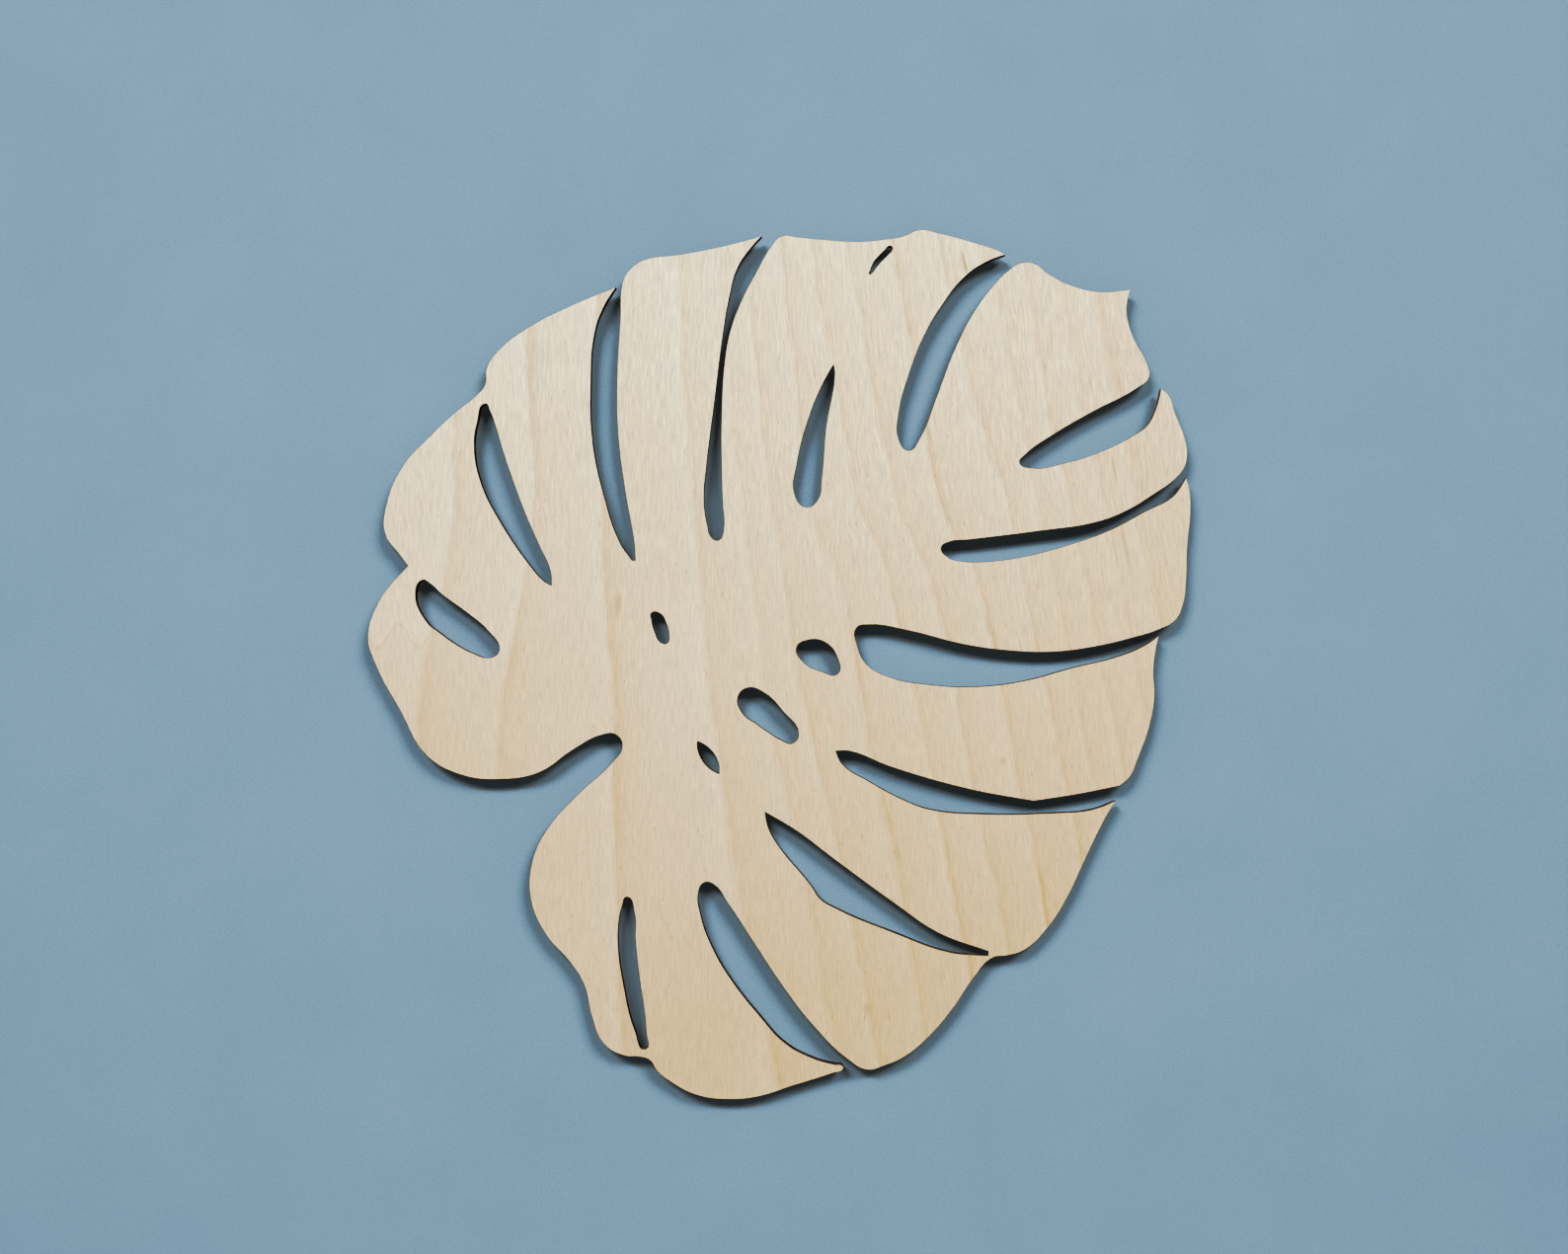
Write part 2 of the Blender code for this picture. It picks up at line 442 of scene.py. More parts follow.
def spot(tree, flat, place, radii, turn=0.0):
    """1 at the middle of a small oval, 0 at its edge. The turn leans its top to the left, in degrees."""
    oval = tree.nodes.new("ShaderNodeMapping")
    oval.vector_type = "TEXTURE"
    oval.inputs["Location"].default_value = (place[0], 0.0, place[1])
    oval.inputs["Rotation"].default_value = (0.0, math.radians(turn), 0.0)
    oval.inputs["Scale"].default_value = (radii[0], 1.0, radii[1])
    tree.links.new(flat, oval.inputs["Vector"])
    gradient = tree.nodes.new("ShaderNodeTexGradient")
    gradient.gradient_type = "SPHERICAL"
    tree.links.new(oval.outputs["Vector"], gradient.inputs["Vector"])
    return gradient.outputs["Fac"]


def raise_relief(tree, shader, height, depth, strength):
    """Feeds a height pattern, depth metres from low to high, to the shader's normal."""
    bump = tree.nodes.new("ShaderNodeBump")
    bump.inputs["Strength"].default_value = strength
    bump.inputs["Distance"].default_value = depth
    plug(tree, height, bump.inputs["Height"])
    tree.links.new(bump.outputs["Normal"], shader.inputs["Normal"])


# ---------------------------------------------------------------------------------------------------------
# The two veneers
# ---------------------------------------------------------------------------------------------------------


def fibre_place(tree, x, z, flat):
    """The place in the face veneer as a vector whose x runs across the fibres, which wander as they rise."""
    lean = ease(tree, x, -40.0, 120.0, high=0.10)
    across = add_share(tree, x, lean, z)
    wander = mottle(tree, flat, (30.0, 1.0, 60.0), offset=(4.4, 0.0, 8.8), detail=1.0)
    across = sway(tree, across, wander, 7.0)
    # Round an old bud in the right half the fibres swerve more.
    near_bud = spot(tree, flat, (72.0, 42.0), (60.0, 60.0))
    curl = mottle(tree, flat, (13.0, 1.0, 22.0), offset=(2.2, 0.0, 5.1), detail=1.0)
    curl = product(tree, reckon(tree, "SUBTRACT", curl, 0.5), near_bud)
    across = add_share(tree, across, curl, 16.0)
    return vector_of(tree, across, 0.0, z)


def feathering(tree, fibres, offset):
    """Short strokes along the fibres, which feather the edge of a growth ring."""
    return mottle(tree, fibres, (1.1, 1.0, 11.0), offset=offset, roughness=0.6)


def leaning_rings(tree, x, z, flat, fibres):
    """How far across the log each spot of the face veneer is, in millimetres."""
    # The rings stand nearly upright in the left half, and their tops lean to the left in the right half.
    lean = ease(tree, x, -60.0, 60.0, low=0.04, high=0.20)
    across = add_share(tree, x, lean, reckon(tree, "ADD", z, 15.0))
    # Near the middle of the right half they swerve round an old bud.
    swerve_height = ease(tree, z, 5.0, 50.0, high=9.0)
    swerve = product(tree, ease(tree, x, 10.0, 45.0), fade(tree, x, 95.0, 130.0), swerve_height)
    across = reckon(tree, "ADD", across, swerve)
    # Down the left edge they drift outwards.
    drift_height = ease(tree, z, -70.0, 55.0, low=15.0, high=-8.0)
    drift = product(tree, fade(tree, x, -90.0, -60.0), drift_height)
    across = reckon(tree, "ADD", across, drift)
    # Slow and quick waviness, and edges feathered along the fibres.
    slow = mottle(tree, flat, (38.0, 1.0, 95.0), offset=(3.1, 0.0, 7.7), detail=1.0)
    across = sway(tree, across, slow, 8.0)
    quick = mottle(tree, flat, (8.0, 1.0, 20.0), offset=(9.4, 0.0, 1.3), detail=1.0)
    across = sway(tree, across, quick, 2.6)
    return sway(tree, across, feathering(tree, fibres, (6.4, 0.0, 3.3)), 2.6)


def ring_phase(tree, across):
    """0 at the dark start of each growth ring, rising to 1 just before the next, and the start's strength."""
    width = FIGURE_RIGHT_MM - FIGURE_LEFT_MM
    share = spread(tree, across, FIGURE_LEFT_MM, FIGURE_RIGHT_MM, 0.0, 1.0)
    phase = tree.nodes.new("ShaderNodeValToRGB")
    strength = tree.nodes.new("ShaderNodeValToRGB")
    strength.color_ramp.interpolation = "CONSTANT"
    phase_stops = phase.color_ramp.elements
    strength_stops = strength.color_ramp.elements
    phase_stops[0].color = grey(0.0)
    phase_stops[1].color = grey(1.0)
    strength_stops[0].color = grey(FIRST_RING_STRENGTH)
    strength_stops.remove(strength_stops[1])
    for start, line_strength in RING_STARTS_MM:
        line_left = (start - RING_LINE_SOFT_MM - FIGURE_LEFT_MM) / width
        line_right = (start + RING_LINE_SOFT_MM - FIGURE_LEFT_MM) / width
        phase_stops.new(line_left).color = grey(1.0)
        phase_stops.new(line_right).color = grey(0.0)
        strength_stops.new(line_left).color = grey(line_strength)
    tree.links.new(share, phase.inputs["Fac"])
    tree.links.new(share, strength.inputs["Fac"])
    return phase.outputs["Color"], strength.outputs["Color"]


def bark_ripple(tree, x, z):
    """A rippled ring edge in the left lobe: 1 on its thin line, and 1 in the darker wood under it."""
    from_crest = reckon(tree, "ADD", x, -RIPPLE_CREST_MM)
    wave = reckon(tree, "COSINE", product(tree, from_crest, math.pi / RIPPLE_HALF_WAVE_MM))
    level = add_share(tree, RIPPLE_LEVEL_MM, wave, RIPPLE_SWING_MM)
    above = reckon(tree, "SUBTRACT", z, level)
    extent = fade(tree, x, -140.0, -128.0)
    line = product(tree, fade(tree, reckon(tree, "ABSOLUTE", above), 0.3, 1.7), extent)
    under = product(tree, fade(tree, above, -1.2, 0.8), extent, ease(tree, z, -75.0, -25.0))
    return line, under


def lacy_flecks(tree, fibres, offset):
    """Short lacy flecks along the fibres."""
    return mottle(tree, fibres, (1.3, 1.0, 12.0), offset=offset, roughness=0.6, distortion=0.5)


def fine_lines(tree, fibres, offset):
    """Very fine lines along the fibres."""
    return mottle(tree, fibres, (0.7, 1.0, 8.0), offset=offset, roughness=0.6)


def pore_dashes(tree, fibres, offset):
    """Thin dashes, whose few high values are pores."""
    return mottle(tree, fibres, (0.6, 1.0, 3.6), offset=offset, detail=0.0)


def gum_marks(tree, flat, fine):
    """How strong the gum streaks and pin knots are, broken up by the fine lines."""
    marks = []
    for place, radii, turn, strength in GUM_MARKS_MM:
        marks.append(ease(tree, spot(tree, flat, place, radii, turn), 0.0, 0.7, high=strength))
    gum = marks[0]
    for mark in marks[1:]:
        gum = reckon(tree, "MAXIMUM", gum, mark)
    return product(tree, gum, ease(tree, fine, 0.35, 0.60, low=0.45))


def veneer_warmth(tree, x, z, flat, under_ripple):
    """0 where the face veneer is palest, and 1 where it is most tan."""
    # Paler towards the top left, warmer towards the bottom right.
    warmth = add_share(tree, WARMTH_AT_ORIGIN, x, WARMTH_PER_MM_RIGHT)
    warmth = add_share(tree, warmth, z, WARMTH_PER_MM_UP)
    cloud = mottle(tree, flat, (45.0, 1.0, 90.0), offset=(5.0, 0.0, 2.0), detail=1.0)
    warmth = sway(tree, warmth, cloud, 0.20)
    # The foot of the left lobe is warmer, and the wood at the bottom left is paler.
    warmth = add_share(tree, warmth, under_ripple, 0.10)
    left_lobe = product(tree, fade(tree, x, -115.0, -70.0), fade(tree, z, -60.0, 0.0))
    warmth = add_share(tree, warmth, left_lobe, 0.16)
    low_left = product(tree, fade(tree, x, -60.0, -15.0), fade(tree, z, -150.0, -90.0))
    warmth = add_share(tree, warmth, low_left, -0.12)
    return hold(tree, warmth)


def birch_face():
    """The pale face veneer: soft growth rings, wavy fibres, short pores and a few gum streaks."""
    material, tree, shader = new_finish("birch_face")
    x, z, flat = sheet_place(tree)
    fibres = fibre_place(tree, x, z, flat)
    across = leaning_rings(tree, x, z, flat, fibres)
    phase, strength = ring_phase(tree, across)
    patches = mottle(tree, flat, (20.0, 1.0, 60.0), offset=(1.0, 0.0, 4.0), detail=1.0)
    patchy = ease(tree, patches, 0.35, 0.62, low=0.30)
    ripple_line, under_ripple = bark_ripple(tree, x, z)
    warmth = veneer_warmth(tree, x, z, flat, under_ripple)
    tone = blend_colours(tree, warmth, colour(*VENEER_PALE), colour(*VENEER_TAN))

    # One broad band in the lower middle is cooler and paler.
    band = product(
        tree,
        ease(tree, across, -52.0, -40.0),
        fade(tree, across, -18.0, -8.0),
        ease(tree, z, -160.0, -120.0),
        fade(tree, z, -20.0, 15.0),
    )
    tone = stain(tree, tone, COOL_BAND_TINT, band)

    # Each ring goes from a pinkish start to pale wood, with a paler stripe just before the next.
    shade = reckon(tree, "POWER", phase, 0.8)
    ring_tint = blend_colours(tree, shade, (*RING_START_TINT, 1.0), (*RING_PALE_TINT, 1.0))
    tone = blend_colours(tree, 1.0, tone, ring_tint, "MULTIPLY")
    stripe = product(tree, ease(tree, phase, 0.80, 0.97), patchy)
    tone = stain(tree, tone, RING_STRIPE_TINT, stripe)
    line = product(tree, fade(tree, phase, 0.0, 0.18), strength, patchy)
    line = reckon(tree, "MAXIMUM", line, product(tree, ripple_line, 0.45))
    tone = stain(tree, tone, RING_LINE_TINT, line)

    # Fibres: long streaks, lacy flecks, very fine lines, and pinkish and creamy patches.
    streak = mottle(tree, fibres, (2.4, 1.0, 40.0), offset=(2.0, 0.0, 9.0), detail=3.0, roughness=0.6)
    flecks = lacy_flecks(tree, fibres, (7.0, 0.0, 3.0))
    fine = fine_lines(tree, fibres, (4.0, 0.0, 8.0))
    tone = brighten(tree, tone, streak, 0.07)
    tone = brighten(tree, tone, flecks, ease(tree, z, -40.0, 120.0, low=0.10, high=0.32))
    tone = brighten(tree, tone, fine, ease(tree, z, -60.0, 60.0, low=0.40, high=0.48))
    blush = ease(tree, mottle(tree, fibres, (3.0, 1.0, 24.0), offset=(11.0, 0.0, 5.0)), 0.35, 0.65)
    blush_tint = blend_colours(tree, blush, (*CREAM_TINT, 1.0), (*BLUSH_TINT, 1.0))
    tone = blend_colours(tree, 1.0, tone, blush_tint, "MULTIPLY")

    # Pores, then gum streaks and pin knots.
    pores = ease(tree, pore_dashes(tree, fibres, (1.5, 0.0, 6.5)), 0.73, 0.84, high=0.65)
    tone = stain(tree, tone, PORE_TINT, pores)
    tone = stain(tree, tone, GUM_TINT, gum_marks(tree, flat, fine))

    dress(tree, shader, tone, spread_noise(tree, flecks, 0.50, 0.60), specular=0.35)
    raise_relief(tree, shader, add_share(tree, fine, pores, -0.8), depth=0.00005, strength=0.5)
    return material


def birch_back():
    """The plainer back veneer: broad, uneven, flame-like figure, a little darker, with a few small knots."""
    material, tree, shader = new_finish("birch_back")
    x, z, flat = sheet_place(tree)
    wander = mottle(tree, flat, (30.0, 1.0, 60.0), offset=(9.0, 0.0, 2.0), detail=1.0)
    fibres = vector_of(tree, sway(tree, x, wander, 7.0), 0.0, z)

    # The rings, far apart and wavy.
    slow = mottle(tree, flat, (60.0, 1.0, 170.0), offset=(13.0, 0.0, 21.0), detail=1.0)
    quick = mottle(tree, flat, (12.0, 1.0, 34.0), offset=(3.0, 0.0, 11.0), detail=1.0)
    across = sway(tree, x, slow, 110.0)
    across = sway(tree, across, quick, 6.0)
    across = sway(tree, across, feathering(tree, fibres, (16.4, 0.0, 3.3)), 3.0)
    rings = tree.nodes.new("ShaderNodeTexWave")
    rings.wave_profile = "SAW"
    rings.inputs["Scale"].default_value = BACK_RING_SCALE
    rings.inputs["Distortion"].default_value = 0.0
    tree.links.new(vector_of(tree, across, 0.0, 0.0), rings.inputs["Vector"])
    phase = rings.outputs["Fac"]
    tone = blend_colours(tree, phase, colour(*BACK_VENEER_TAN), colour(*BACK_VENEER_PALE))
    patches = mottle(tree, flat, (25.0, 1.0, 70.0), offset=(2.0, 0.0, 14.0), detail=1.0)
    patchy = ease(tree, patches, 0.35, 0.62, low=0.15, high=0.7)
    tone = stain(tree, tone, BACK_RING_LINE_TINT, product(tree, fade(tree, phase, 0.0, 0.14), patchy))

    # Fibres and pores.
    streak = mottle(tree, fibres, (2.6, 1.0, 50.0), offset=(22.0, 0.0, 19.0), detail=3.0, roughness=0.6)
    flecks = lacy_flecks(tree, fibres, (17.0, 0.0, 3.0))
    fine = fine_lines(tree, fibres, (14.0, 0.0, 18.0))
    tone = brighten(tree, tone, streak, 0.12)
    tone = brighten(tree, tone, flecks, 0.20)
    tone = brighten(tree, tone, fine, 0.36)
    pores = ease(tree, pore_dashes(tree, fibres, (11.5, 0.0, 6.5)), 0.71, 0.82, high=0.7)
    tone = stain(tree, tone, BACK_PORE_TINT, pores)

    # Small sound knots, each darker towards its middle.
    for place, radii, turn in BACK_KNOTS_MM:
        knot = spot(tree, flat, place, radii, turn)
        tone = stain(tree, tone, KNOT_EDGE_TINT, ease(tree, knot, 0.0, 0.5, high=0.5))
        tone = stain(tree, tone, KNOT_HEART_TINT, ease(tree, knot, 0.5, 0.9, high=0.8))

    dress(tree, shader, tone, spread_noise(tree, fine, 0.58, 0.70), specular=0.30)
    raise_relief(tree, shader, add_share(tree, fine, pores, -0.8), depth=0.00006, strength=0.5)
    return material


# ---------------------------------------------------------------------------------------------------------
# The other materials
# ---------------------------------------------------------------------------------------------------------


def char(name, dark, brown, brown_share, roughness):
    """Laser-charred wood with fine ridges across the sheet's thickness."""
    material, tree, shader = new_finish(name)
    vector = millimetres(tree)
    ridges = mottle(tree, vector, (0.35, 6.0, 0.35), roughness=0.6)
    patches = mottle(tree, vector, (7.0, 4.0, 7.0), offset=(8.0, 5.0, 2.0), roughness=0.6)
    tint = product(tree, ease(tree, patches, 0.35, 0.70), brown_share)
    tint = hold(tree, sway(tree, tint, ridges, 0.5))
    tone = blend_colours(tree, tint, colour(*dark), colour(*brown))
    dress(tree, shader, tone, spread_noise(tree, ridges, roughness - 0.08, roughness + 0.08), specular=0.15)
    raise_relief(tree, shader, ridges, depth=0.00012, strength=0.7)
    return material


def pad_foam():
    """Closed-cell foam, off-white, with tiny burst cells whose pits are painted darker, as painted shade."""
    material, tree, shader = new_finish("pad_foam")
    vector = millimetres(tree)
    cells = tree.nodes.new("ShaderNodeTexVoronoi")
    cells.inputs["Scale"].default_value = 3.2
    tree.links.new(vector, cells.inputs["Vector"])
    from_cell = cells.outputs["Distance"]
    cloud = mottle(tree, vector, (4.0, 4.0, 4.0), offset=(1.0, 2.0, 3.0))
    # The pits of the burst cells are painted darker than the foam: painted shade in the dips that the bump
    # makes.
    tone = blend_colours(tree, ease(tree, from_cell, 0.1, 0.6), colour(*FOAM_PIT_SHADE), colour(*FOAM_WALL))
    tone = blend_colours(tree, product(tree, cloud, 0.25), tone, colour(*FOAM_STAIN))
    dress(tree, shader, tone, spread_noise(tree, cloud, 0.78, 0.90), specular=0.25)
    raise_relief(tree, shader, from_cell, depth=0.00012, strength=0.6)
    return material


def pad_film():
    """The clear sticky film on both faces of a foam pad, greyish and shinier than the foam."""
    material, tree, shader = new_finish("pad_film")
    cloud = mottle(tree, millimetres(tree), (2.5, 2.5, 2.5), offset=(6.0, 1.0, 4.0), detail=3.0)
    tone = blend_colours(tree, cloud, colour(*FILM_DULL), colour(*FILM_PALE))
    dress(tree, shader, tone, spread_noise(tree, cloud, 0.28, 0.42))
    raise_relief(tree, shader, cloud, depth=0.00005, strength=0.4)
    return material


def painted(name, paint, grain_mm, depth, glow=0.0):
    """Matt paint with the fine stipple of a roller. A glow, 0 to 1, evens out how the lamps light it."""
    material, tree, shader = new_finish(name)
    vector = millimetres(tree)
    stipple = mottle(tree, vector, (grain_mm, grain_mm, grain_mm), detail=3.0, roughness=0.6)
    cloud = mottle(tree, vector, (70.0, 70.0, 70.0), offset=(3.0, 1.0, 2.0), detail=3.0, roughness=0.6)
    stipple_shade = spread_noise(tree, stipple, 0.94, 1.06)
    cloud_shade = spread_noise(tree, cloud, 0.98, 1.02)
    shade = product(tree, stipple_shade, cloud_shade, 1.0 - glow)
    tone = blend_colours(tree, 1.0, colour(*paint), vector_of(tree, shade, shade, shade), "MULTIPLY")
    dress(tree, shader, tone, 0.85, specular=0.2)
    shader.inputs["Emission Color"].default_value = colour(*paint)
    shader.inputs["Emission Strength"].default_value = glow
    raise_relief(tree, shader, stipple, depth, strength=0.5)
    return material


def one_way(material):
    """Makes a painted backdrop clear when it is seen from behind."""
    tree = material.node_tree
    output = next(node for node in tree.nodes if node.type == "OUTPUT_MATERIAL")
    shader = next(node for node in tree.nodes if node.type == "BSDF_PRINCIPLED")
    clear = tree.nodes.new("ShaderNodeBsdfTransparent")
    side = tree.nodes.new("ShaderNodeNewGeometry")
    choice = tree.nodes.new("ShaderNodeMixShader")
    tree.links.new(side.outputs["Backfacing"], choice.inputs["Fac"])
    tree.links.new(shader.outputs["BSDF"], choice.inputs[1])
    tree.links.new(clear.outputs["BSDF"], choice.inputs[2])
    tree.links.new(choice.outputs["Shader"], output.inputs["Surface"])
    return material


# ---------------------------------------------------------------------------------------------------------
# Small helpers for modelling
# ---------------------------------------------------------------------------------------------------------


def only(piece):
    """Makes one object the selected and active one."""
    bpy.ops.object.select_all(action="DESELECT")
    piece.select_set(True)
    bpy.context.view_layer.objects.active = piece


def pick_vertices(piece, wanted):
    """In edit mode, selects the vertices for which wanted(place) is true."""
    bpy.ops.mesh.select_all(action="DESELECT")
    bpy.ops.object.mode_set(mode="OBJECT")
    for vertex in piece.data.vertices:
        vertex.select = bool(wanted(vertex.co))
    bpy.ops.object.mode_set(mode="EDIT")
    bpy.ops.mesh.select_mode(type="VERT")


def pick_edges(piece, wanted):
    """In edit mode, selects the edges for which wanted(one end, other end) is true."""
    bpy.ops.mesh.select_mode(type="EDGE")
    bpy.ops.mesh.select_all(action="DESELECT")
    bpy.ops.object.mode_set(mode="OBJECT")
    places = piece.data.vertices
    for edge in piece.data.edges:
        edge.select = bool(wanted(places[edge.vertices[0]].co, places[edge.vertices[1]].co))
    bpy.ops.object.mode_set(mode="EDIT")


def pick_faces(piece, wanted):
    """In edit mode, selects the faces for which wanted(face) is true."""
    bpy.ops.mesh.select_mode(type="FACE")
    bpy.ops.mesh.select_all(action="DESELECT")
    bpy.ops.object.mode_set(mode="OBJECT")
    for face in piece.data.polygons:
        face.select = bool(wanted(face))
    bpy.ops.object.mode_set(mode="EDIT")


def score_line(level):
    """In edit mode, cuts a ring round every upright wall of a piece at one depth."""
    bpy.ops.mesh.select_all(action="SELECT")
    bpy.ops.mesh.bisect(plane_co=(0.0, level, 0.0), plane_no=(0.0, 1.0, 0.0), use_fill=False)


def press_ring(piece, level, depth):
    """In edit mode, cuts a ring round a piece's upright walls and presses it inwards."""
    score_line(level)
    pick_vertices(piece, lambda place: abs(place.y - level) < ON_LEVEL)
    bpy.ops.transform.shrink_fatten(value=-depth)


def finish_mesh():
    """Turns all the faces of the piece in edit mode outwards, and leaves edit mode."""
    bpy.ops.mesh.select_all(action="SELECT")
    bpy.ops.mesh.normals_make_consistent(inside=False)
    bpy.ops.object.mode_set(mode="OBJECT")


# ---------------------------------------------------------------------------------------------------------
# The pieces
# ---------------------------------------------------------------------------------------------------------


def burn_rim(piece, level, outward):
    """Takes the sharp rim off one face of the sheet, then closes that face again."""
    pick_edges(piece, lambda a, b: abs(a.y - level) < SAME_PLACE and abs(b.y - level) < SAME_PLACE)
    bpy.ops.mesh.extrude_edges_move(TRANSFORM_OT_translate={"value": (0.0, outward * RIM_WIDTH, 0.0)})
    bpy.ops.transform.shrink_fatten(value=-RIM_WIDTH)
    bpy.ops.mesh.fill(use_beauty=True)


def is_wall_diagonal(a, b):
    """Whether an edge runs slantwise through the sheet, so that it splits a wall face in two."""
    return abs(a.y - b.y) > THROUGH_LENGTH and math.hypot(a.x - b.x, a.z - b.z) > SAME_PLACE


def layer_at(face):
    """Which finish a face of the sheet has, by where it looks and how deep in the sheet it lies."""
    depth = face.center.y - FACE_Y
    thickness = BACK_Y - FACE_Y
    if face.normal.y < -FACING_Y:
        return FACE
    if face.normal.y > FACING_Y:
        return BACK
    if depth < RIM_WIDTH or depth > thickness - RIM_WIDTH:
        return RIM
    from_nearer_face = min(depth, thickness - depth)
    if abs(from_nearer_face - FACE_PLY_THICKNESS) < GLUE_LINE_THICKNESS / 2:
        return GLUE_LINE
    if from_nearer_face < FACE_PLY_THICKNESS:
        return FACE_PLY
    return CORE_PLY


def leaf_sheet():
    """The leaf-shaped sheet: flat veneered faces, burnt rims, and walls that show plies and glue lines."""
    sheet = bpy.data.objects.new("leaf_sheet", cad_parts["leaf_panel"].data.copy())
    bpy.context.scene.collection.objects.link(sheet)
    sheet.data.materials.clear()
    only(sheet)
    bpy.ops.mesh.customdata_custom_splitnormals_clear()
    bpy.ops.object.mode_set(mode="EDIT")
    bpy.ops.mesh.select_all(action="SELECT")
    bpy.ops.mesh.remove_doubles(threshold=MERGE_DISTANCE)

    # Only the upright walls stay, as clean four-sided faces.
    pick_faces(sheet, lambda face: abs(face.normal.y) > FACING_Y)
    bpy.ops.mesh.delete(type="FACE")
    pick_edges(sheet, is_wall_diagonal)
    bpy.ops.mesh.dissolve_edges(use_verts=False)

    # Room for the burnt rims.
    pick_vertices(sheet, lambda place: place.y < FACE_Y + ON_FACE)
    bpy.ops.transform.translate(value=(0.0, RIM_WIDTH, 0.0))
    pick_vertices(sheet, lambda place: place.y > BACK_Y - ON_FACE)
    bpy.ops.transform.translate(value=(0.0, -RIM_WIDTH, 0.0))

    # Two glue lines between three plies, burnt a little deeper than the wood.
    for glue in (FACE_Y + FACE_PLY_THICKNESS, BACK_Y - FACE_PLY_THICKNESS):
        score_line(glue - GLUE_LINE_THICKNESS / 2)
        score_line(glue + GLUE_LINE_THICKNESS / 2)
        press_ring(sheet, glue, GLUE_LINE_DEPTH)

    burn_rim(sheet, FACE_Y + RIM_WIDTH, -1.0)
    burn_rim(sheet, BACK_Y - RIM_WIDTH, 1.0)
    finish_mesh()

    sheet.data.materials.append(birch_face())
    sheet.data.materials.append(birch_back())
    for layer in CHARRED_LAYERS:
        sheet.data.materials.append(char(*layer))
    for face in sheet.data.polygons:
        face.material_index = layer_at(face)
    bpy.ops.object.shade_smooth_by_angle(angle=math.radians(SHEET_SMOOTH_DEGREES))
    return sheet


def foam_pad(node, foam, film):
    """One sticky foam pad: rounded upright corners, a film on each face and a waist where the foam gives."""
    low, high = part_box(node)
    front = BACK_Y + PAD_TO_SHEET_GAP
    thickness = high.y - front
    middle = (low + high) / 2
    middle.y = (front + high.y) / 2
    size = (high.x - low.x, thickness, high.z - low.z)
    bpy.ops.object.select_all(action="DESELECT")
    bpy.ops.mesh.primitive_cube_add(size=1.0, location=middle, scale=size)
    pad = bpy.context.active_object
    pad.name = node + "_foam"
    pad.data.name = pad.name
    bpy.ops.object.transform_apply(location=True, rotation=True, scale=True)
    bpy.ops.object.mode_set(mode="EDIT")
    pick_edges(pad, lambda a, b: abs(a.y - b.y) > THROUGH_LENGTH)
    bpy.ops.mesh.bevel(
        offset=PAD_CORNER_RADIUS,
        segments=PAD_CORNER_SEGMENTS,
        affect="EDGES",
        clamp_overlap=True,
    )

    # The two films, then the waist.
    score_line(front + PAD_FILM_THICKNESS)
    score_line(high.y - PAD_FILM_THICKNESS)
    for share, depth in PAD_WAIST_CUTS:
        press_ring(pad, front + share * thickness, PAD_WAIST * depth)
    finish_mesh()

    pad.data.materials.clear()
    pad.data.materials.append(foam)
    pad.data.materials.append(film)
    for face in pad.data.polygons:
        near_sheet = face.center.y < front + PAD_FILM_THICKNESS
        near_wall = face.center.y > high.y - PAD_FILM_THICKNESS
        face.material_index = 1 if near_sheet or near_wall else 0
    only(pad)
    bpy.ops.object.shade_smooth_by_angle(angle=math.radians(PAD_SMOOTH_DEGREES))
    return pad


# ---------------------------------------------------------------------------------------------------------
# The studio
# ---------------------------------------------------------------------------------------------------------


def studio_camera():
    """Looks squarely at the wall."""
    lens = bpy.data.cameras.new("studio_camera")
    lens.lens = LENS_MM
    lens.sensor_width = SENSOR_WIDTH_MM
    camera = bpy.data.objects.new("studio_camera", lens)
    bpy.context.scene.collection.objects.link(camera)
    camera.location = (LEAF_MIDDLE.x + CAMERA_RIGHT, FACE_Y - CAMERA_DISTANCE, LEAF_MIDDLE.z + CAMERA_UP)
    camera.rotation_euler = (math.radians(90.0), 0.0, 0.0)
    bpy.context.scene.camera = camera


def screen(name, middle, tilt, width, height, finish):
    """A flat painted rectangle that throws no bounced light on what is near it."""
    bpy.ops.object.select_all(action="DESELECT")
    bpy.ops.mesh.primitive_plane_add(size=1.0, location=middle, rotation=(math.radians(tilt), 0.0, 0.0))
    piece = bpy.context.active_object
    piece.name = name
    piece.scale = (width, height, 1.0)
    bpy.ops.object.transform_apply(location=True, rotation=True, scale=True)
    piece.data.materials.append(finish)
    piece.visible_diffuse = False
    return piece


def backdrop():
    """A plain painted wall that the pads stick to, and a pale floor far below."""
    floor_level = LEAF_MIDDLE.z - FLOOR_DROP
    wall_middle = (LEAF_MIDDLE.x, cad_high.y + WALL_GAP, floor_level + WALL_HEIGHT / 2)
    wall_finish = one_way(painted("wall_paint", WALL_PAINT, WALL_GRAIN_MM, WALL_RELIEF))
    wall = screen("backdrop_wall", wall_middle, 90.0, WALL_WIDTH, WALL_HEIGHT, wall_finish)
    wall.visible_shadow = False
    floor_middle = (LEAF_MIDDLE.x, 0.0, floor_level)
    floor_finish = painted("floor_paint", FLOOR_PAINT, FLOOR_GRAIN_MM, FLOOR_RELIEF, FLOOR_GLOW)
    floor = screen("studio_floor", floor_middle, 0.0, FLOOR_SIZE, FLOOR_SIZE, floor_finish)


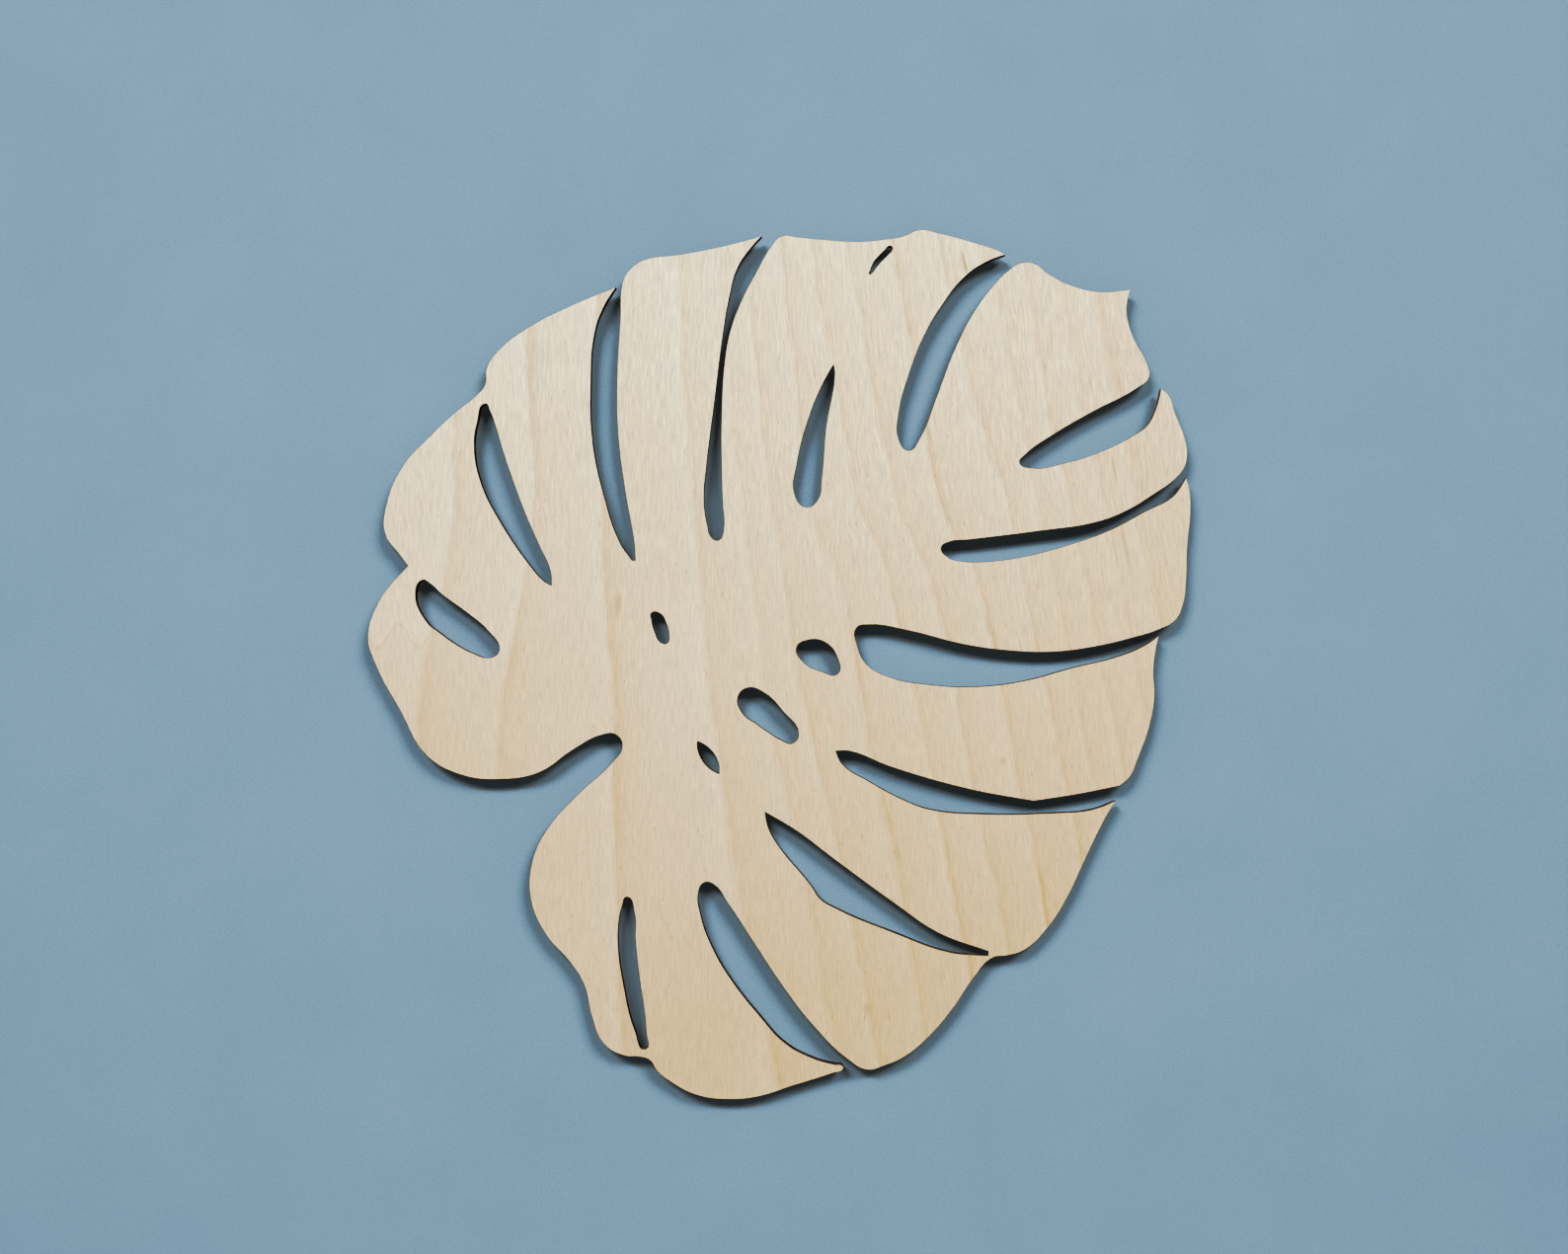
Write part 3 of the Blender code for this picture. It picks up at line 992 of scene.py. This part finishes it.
def soft_light(name, direction, length, width, watts, beam_degrees):
    """A soft box with its long side level, which faces a spot a little below the panel's middle."""
    lamp = bpy.data.lights.new(name, "AREA")
    lamp.shape = "RECTANGLE"
    lamp.size = length
    lamp.size_y = width
    lamp.energy = watts
    lamp.color = LIGHT_TINT
    lamp.spread = math.radians(beam_degrees)
    light = bpy.data.objects.new(name, lamp)
    bpy.context.scene.collection.objects.link(light)
    light.location = LEAF_MIDDLE + Vector(direction).normalized() * LIGHT_DISTANCE
    backwards = light.location - LEAF_MIDDLE + Vector((0.0, 0.0, LIGHT_AIM_DROP))
    light.rotation_euler = backwards.to_track_quat("Z", "Y").to_euler()
    return lamp


def studio_lights():
    """Two soft boxes high on the left and right, and one behind for the back."""
    shape = (LIGHT_LENGTH, LIGHT_WIDTH)
    soft_light("soft_box_left", LEFT_LIGHT_DIRECTION, *shape, LEFT_LIGHT_WATTS, LIGHT_SPREAD_DEGREES)
    soft_light("soft_box_right", RIGHT_LIGHT_DIRECTION, *shape, RIGHT_LIGHT_WATTS, LIGHT_SPREAD_DEGREES)
    # The rear light only lights what it falls on, so that the wall's shadows stay deep.
    rear = soft_light(
        "soft_box_rear",
        REAR_LIGHT_DIRECTION,
        REAR_LIGHT_SIZE,
        REAR_LIGHT_SIZE,
        REAR_LIGHT_WATTS,
        REAR_LIGHT_SPREAD_DEGREES,
    )
    rear.cycles.max_bounces = 0


def pale_surround():
    """Weak light from all round. It shows pale behind the panel, where the camera looks past the wall."""
    world = bpy.data.worlds.new("pale_surround")
    world.use_nodes = True
    tree = world.node_tree
    output = tree.nodes["World Output"]
    glow = tree.nodes["Background"]
    glow.inputs["Color"].default_value = SURROUND_TINT
    glow.inputs["Strength"].default_value = SURROUND_GLOW
    pale = tree.nodes.new("ShaderNodeBackground")
    pale.inputs["Color"].default_value = SURROUND_PALE
    rays = tree.nodes.new("ShaderNodeLightPath")
    choice = tree.nodes.new("ShaderNodeMixShader")
    tree.links.new(rays.outputs["Is Camera Ray"], choice.inputs["Fac"])
    tree.links.new(glow.outputs["Background"], choice.inputs[1])
    tree.links.new(pale.outputs["Background"], choice.inputs[2])
    tree.links.new(choice.outputs["Shader"], output.inputs["Surface"])
    world.cycles.max_bounces = 1
    bpy.context.scene.world = world


def deepen_shadows():
    """Prints the picture with deep shadows. Tones as light as the wood and the paint keep their colours."""
    view = bpy.context.scene.view_settings
    view.view_transform = "Standard"
    view.use_curve_mapping = True
    blue_curve = view.curve_mapping.curves[2]
    shared_curve = view.curve_mapping.curves[3]
    for light, printed in PRINT_CURVE:
        shared_curve.points.new(light, printed)
    for light, printed in BLUE_PRINT_CURVE:
        blue_curve.points.new(light, printed)
    view.curve_mapping.update()


# ---------------------------------------------------------------------------------------------------------
# Putting it together
# ---------------------------------------------------------------------------------------------------------

studio_camera()
panel = leaf_sheet()
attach(panel, "root")
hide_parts("leaf_panel")

foam_finish = pad_foam()
film_finish = pad_film()
for pad_name in PAD_NAMES:
    cushion = foam_pad(pad_name, foam_finish, film_finish)
    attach(cushion, "root")
    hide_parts(pad_name)

backdrop()
studio_lights()
pale_surround()
deepen_shadows()
